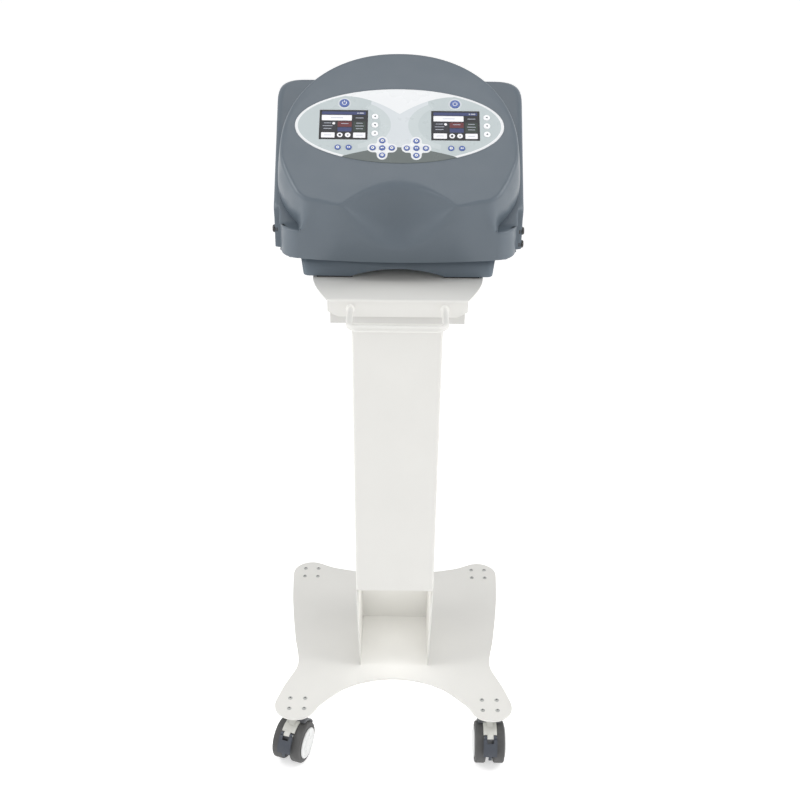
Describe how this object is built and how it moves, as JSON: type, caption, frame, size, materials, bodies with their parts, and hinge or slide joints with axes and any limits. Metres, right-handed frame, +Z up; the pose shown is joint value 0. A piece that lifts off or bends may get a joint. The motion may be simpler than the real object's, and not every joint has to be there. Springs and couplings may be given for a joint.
{
  "type": "hot cold therapy machine",
  "caption": "Two-channel hot and cold therapy console with screens, keypad and hose ports on a wheeled column trolley with tray and push handle.",
  "frame": {"origin": "on the floor below the middle of the four casters", "axes": "+X to the right as the user faces the panel, -Y towards the user, +Z up"},
  "size_m": [0.438, 0.5297, 1.1883],
  "materials": {
    "powder_coat": "satin off-white powder coat",
    "powder_coat_shade": "satin off-white powder coat",
    "zinc": "zinc plated",
    "bare_metal": "brushed",
    "caster_grey": "moulded nylon",
    "tyre": "grey tread",
    "caster_white": "moulded",
    "brake_plastic": "moulded",
    "pan_plastic": "fine texture",
    "foot_rubber": "matte",
    "shell_plastic": "fine moulded texture",
    "panel_film": "satin overlay",
    "screen": "dark glass over a lit screen",
    "key_blue": "satin",
    "key_ring": "satin, with a pale centre",
    "key_white": "satin",
    "port_black": "moulded",
    "rocker_black": "gloss",
    "board": "solder mask",
    "tank_plastic": "translucent moulding",
    "pump_black": "moulded"
  },
  "bodies": {
    "trolley": {"base_plate": "powder_coat", "column_shell": "powder_coat", "column_back": "powder_coat", "column_bolts": "zinc", "head_bracket": "powder_coat_shade", "tray": "powder_coat", "handle": "powder_coat", "caster_plates": "zinc", "caster_screws": "zinc", "base_pan": "pan_plastic", "rubber_feet": "foot_rubber", "rear_shell": "shell_plastic", "front_shell": "shell_plastic", "control_panel": "panel_film", "display_left": "screen", "display_right": "screen", "hose_ports": "port_black", "power_inlet": "port_black", "main_board": "board", "power_supply": "bare_metal", "water_tank": "tank_plastic", "pump": "pump_black"},
    "caster_fl": {"caster_fl_fork": "caster_grey"},
    "wheels_fl": {"caster_fl_tyres": "tyre", "caster_fl_discs": "caster_white"},
    "caster_fr": {"caster_fr_fork": "caster_grey"},
    "wheels_fr": {"caster_fr_tyres": "tyre", "caster_fr_discs": "caster_white"},
    "caster_rl": {"caster_rl_fork": "caster_grey"},
    "wheels_rl": {"caster_rl_tyres": "tyre", "caster_rl_discs": "caster_white"},
    "caster_rr": {"caster_rr_fork": "caster_grey"},
    "wheels_rr": {"caster_rr_tyres": "tyre", "caster_rr_discs": "caster_white"},
    "pedal_fl": {"brake_fl": "brake_plastic"},
    "pedal_fr": {"brake_fr": "brake_plastic"},
    "key_power_left": {"key_power_left": "key_blue"},
    "key_power_right": {"key_power_right": "key_blue"},
    "key_left_up": {"key_left_up": "key_white"},
    "key_left_select": {"key_left_select": "key_white"},
    "key_left_down": {"key_left_down": "key_white"},
    "key_right_up": {"key_right_up": "key_white"},
    "key_right_select": {"key_right_select": "key_white"},
    "key_right_down": {"key_right_down": "key_white"},
    "pad_left_ok": {"pad_left_ok": "key_ring"},
    "pad_left_up": {"pad_left_up": "key_ring"},
    "pad_left_down": {"pad_left_down": "key_ring"},
    "pad_left_back": {"pad_left_back": "key_ring"},
    "pad_left_next": {"pad_left_next": "key_ring"},
    "pad_right_ok": {"pad_right_ok": "key_ring"},
    "pad_right_up": {"pad_right_up": "key_ring"},
    "pad_right_down": {"pad_right_down": "key_ring"},
    "pad_right_back": {"pad_right_back": "key_ring"},
    "pad_right_next": {"pad_right_next": "key_ring"},
    "key_left_cold": {"key_left_cold": "key_blue"},
    "key_left_hot": {"key_left_hot": "key_blue"},
    "key_right_cold": {"key_right_cold": "key_blue"},
    "key_right_hot": {"key_right_hot": "key_blue"},
    "rocker": {"rocker_switch": "rocker_black"}
  },
  "joints": [
    {"name": "swivel_fl", "type": "hinge", "parent": "trolley", "child": "caster_fl", "pos_m": [-0.175, -0.2, 0.095], "axis": [0, 0, 1], "continuous": true},
    {"name": "roll_fl", "type": "hinge", "parent": "caster_fl", "child": "wheels_fl", "pos_m": [-0.18184, -0.21879, 0.0375], "axis": [0.9397, -0.342, 0], "continuous": true},
    {"name": "swivel_fr", "type": "hinge", "parent": "trolley", "child": "caster_fr", "pos_m": [0.175, -0.2, 0.095], "axis": [0, 0, 1], "continuous": true},
    {"name": "roll_fr", "type": "hinge", "parent": "caster_fr", "child": "wheels_fr", "pos_m": [0.175, -0.22, 0.0375], "axis": [1, 0, 0], "continuous": true},
    {"name": "swivel_rl", "type": "hinge", "parent": "trolley", "child": "caster_rl", "pos_m": [-0.175, 0.2, 0.095], "axis": [0, 0, 1], "continuous": true},
    {"name": "roll_rl", "type": "hinge", "parent": "caster_rl", "child": "wheels_rl", "pos_m": [-0.175, 0.22, 0.0375], "axis": [-1, 0, 0], "continuous": true},
    {"name": "swivel_rr", "type": "hinge", "parent": "trolley", "child": "caster_rr", "pos_m": [0.175, 0.2, 0.095], "axis": [0, 0, 1], "continuous": true},
    {"name": "roll_rr", "type": "hinge", "parent": "caster_rr", "child": "wheels_rr", "pos_m": [0.18184, 0.21879, 0.0375], "axis": [-0.9397, 0.342, 0], "continuous": true},
    {"name": "brake_pedal_fl", "type": "hinge", "parent": "caster_fl", "child": "pedal_fl", "pos_m": [-0.191, -0.24396, 0.07178], "axis": [0.9397, -0.342, 0], "range_deg": [-6, 4]},
    {"name": "brake_pedal_fr", "type": "hinge", "parent": "caster_fr", "child": "pedal_fr", "pos_m": [0.175, -0.24678, 0.07178], "axis": [1, 0, 0], "range_deg": [-6, 4]},
    {"name": "press_key_power_left", "type": "slide", "parent": "trolley", "child": "key_power_left", "axis": [0, -0.6018, 0.7986], "range_m": [-0.0007, 0], "stiffness_N_per_m": 1500, "springref_m": 0.0004},
    {"name": "press_key_power_right", "type": "slide", "parent": "trolley", "child": "key_power_right", "axis": [0, -0.6018, 0.7986], "range_m": [-0.0007, 0], "stiffness_N_per_m": 1500, "springref_m": 0.0004},
    {"name": "press_key_left_up", "type": "slide", "parent": "trolley", "child": "key_left_up", "axis": [0, -0.6018, 0.7986], "range_m": [-0.0007, 0], "stiffness_N_per_m": 1500, "springref_m": 0.0004},
    {"name": "press_key_left_select", "type": "slide", "parent": "trolley", "child": "key_left_select", "axis": [0, -0.6018, 0.7986], "range_m": [-0.0007, 0], "stiffness_N_per_m": 1500, "springref_m": 0.0004},
    {"name": "press_key_left_down", "type": "slide", "parent": "trolley", "child": "key_left_down", "axis": [0, -0.6018, 0.7986], "range_m": [-0.0007, 0], "stiffness_N_per_m": 1500, "springref_m": 0.0004},
    {"name": "press_key_right_up", "type": "slide", "parent": "trolley", "child": "key_right_up", "axis": [0, -0.6018, 0.7986], "range_m": [-0.0007, 0], "stiffness_N_per_m": 1500, "springref_m": 0.0004},
    {"name": "press_key_right_select", "type": "slide", "parent": "trolley", "child": "key_right_select", "axis": [0, -0.6018, 0.7986], "range_m": [-0.0007, 0], "stiffness_N_per_m": 1500, "springref_m": 0.0004},
    {"name": "press_key_right_down", "type": "slide", "parent": "trolley", "child": "key_right_down", "axis": [0, -0.6018, 0.7986], "range_m": [-0.0007, 0], "stiffness_N_per_m": 1500, "springref_m": 0.0004},
    {"name": "press_pad_left_ok", "type": "slide", "parent": "trolley", "child": "pad_left_ok", "axis": [0, -0.6018, 0.7986], "range_m": [-0.0007, 0], "stiffness_N_per_m": 1500, "springref_m": 0.0004},
    {"name": "press_pad_left_up", "type": "slide", "parent": "trolley", "child": "pad_left_up", "axis": [0, -0.6018, 0.7986], "range_m": [-0.0007, 0], "stiffness_N_per_m": 1500, "springref_m": 0.0004},
    {"name": "press_pad_left_down", "type": "slide", "parent": "trolley", "child": "pad_left_down", "axis": [0, -0.6018, 0.7986], "range_m": [-0.0007, 0], "stiffness_N_per_m": 1500, "springref_m": 0.0004},
    {"name": "press_pad_left_back", "type": "slide", "parent": "trolley", "child": "pad_left_back", "axis": [0, -0.6018, 0.7986], "range_m": [-0.0007, 0], "stiffness_N_per_m": 1500, "springref_m": 0.0004},
    {"name": "press_pad_left_next", "type": "slide", "parent": "trolley", "child": "pad_left_next", "axis": [0, -0.6018, 0.7986], "range_m": [-0.0007, 0], "stiffness_N_per_m": 1500, "springref_m": 0.0004},
    {"name": "press_pad_right_ok", "type": "slide", "parent": "trolley", "child": "pad_right_ok", "axis": [0, -0.6018, 0.7986], "range_m": [-0.0007, 0], "stiffness_N_per_m": 1500, "springref_m": 0.0004},
    {"name": "press_pad_right_up", "type": "slide", "parent": "trolley", "child": "pad_right_up", "axis": [0, -0.6018, 0.7986], "range_m": [-0.0007, 0], "stiffness_N_per_m": 1500, "springref_m": 0.0004},
    {"name": "press_pad_right_down", "type": "slide", "parent": "trolley", "child": "pad_right_down", "axis": [0, -0.6018, 0.7986], "range_m": [-0.0007, 0], "stiffness_N_per_m": 1500, "springref_m": 0.0004},
    {"name": "press_pad_right_back", "type": "slide", "parent": "trolley", "child": "pad_right_back", "axis": [0, -0.6018, 0.7986], "range_m": [-0.0007, 0], "stiffness_N_per_m": 1500, "springref_m": 0.0004},
    {"name": "press_pad_right_next", "type": "slide", "parent": "trolley", "child": "pad_right_next", "axis": [0, -0.6018, 0.7986], "range_m": [-0.0007, 0], "stiffness_N_per_m": 1500, "springref_m": 0.0004},
    {"name": "press_key_left_cold", "type": "slide", "parent": "trolley", "child": "key_left_cold", "axis": [0, -0.6018, 0.7986], "range_m": [-0.0007, 0], "stiffness_N_per_m": 1500, "springref_m": 0.0004},
    {"name": "press_key_left_hot", "type": "slide", "parent": "trolley", "child": "key_left_hot", "axis": [0, -0.6018, 0.7986], "range_m": [-0.0007, 0], "stiffness_N_per_m": 1500, "springref_m": 0.0004},
    {"name": "press_key_right_cold", "type": "slide", "parent": "trolley", "child": "key_right_cold", "axis": [0, -0.6018, 0.7986], "range_m": [-0.0007, 0], "stiffness_N_per_m": 1500, "springref_m": 0.0004},
    {"name": "press_key_right_hot", "type": "slide", "parent": "trolley", "child": "key_right_hot", "axis": [0, -0.6018, 0.7986], "range_m": [-0.0007, 0], "stiffness_N_per_m": 1500, "springref_m": 0.0004},
    {"name": "mains_rocker", "type": "hinge", "parent": "trolley", "child": "rocker", "pos_m": [-0.1127, 0.233, 0.936], "axis": [1, 0, 0], "range_deg": [0, 16]}
  ]
}
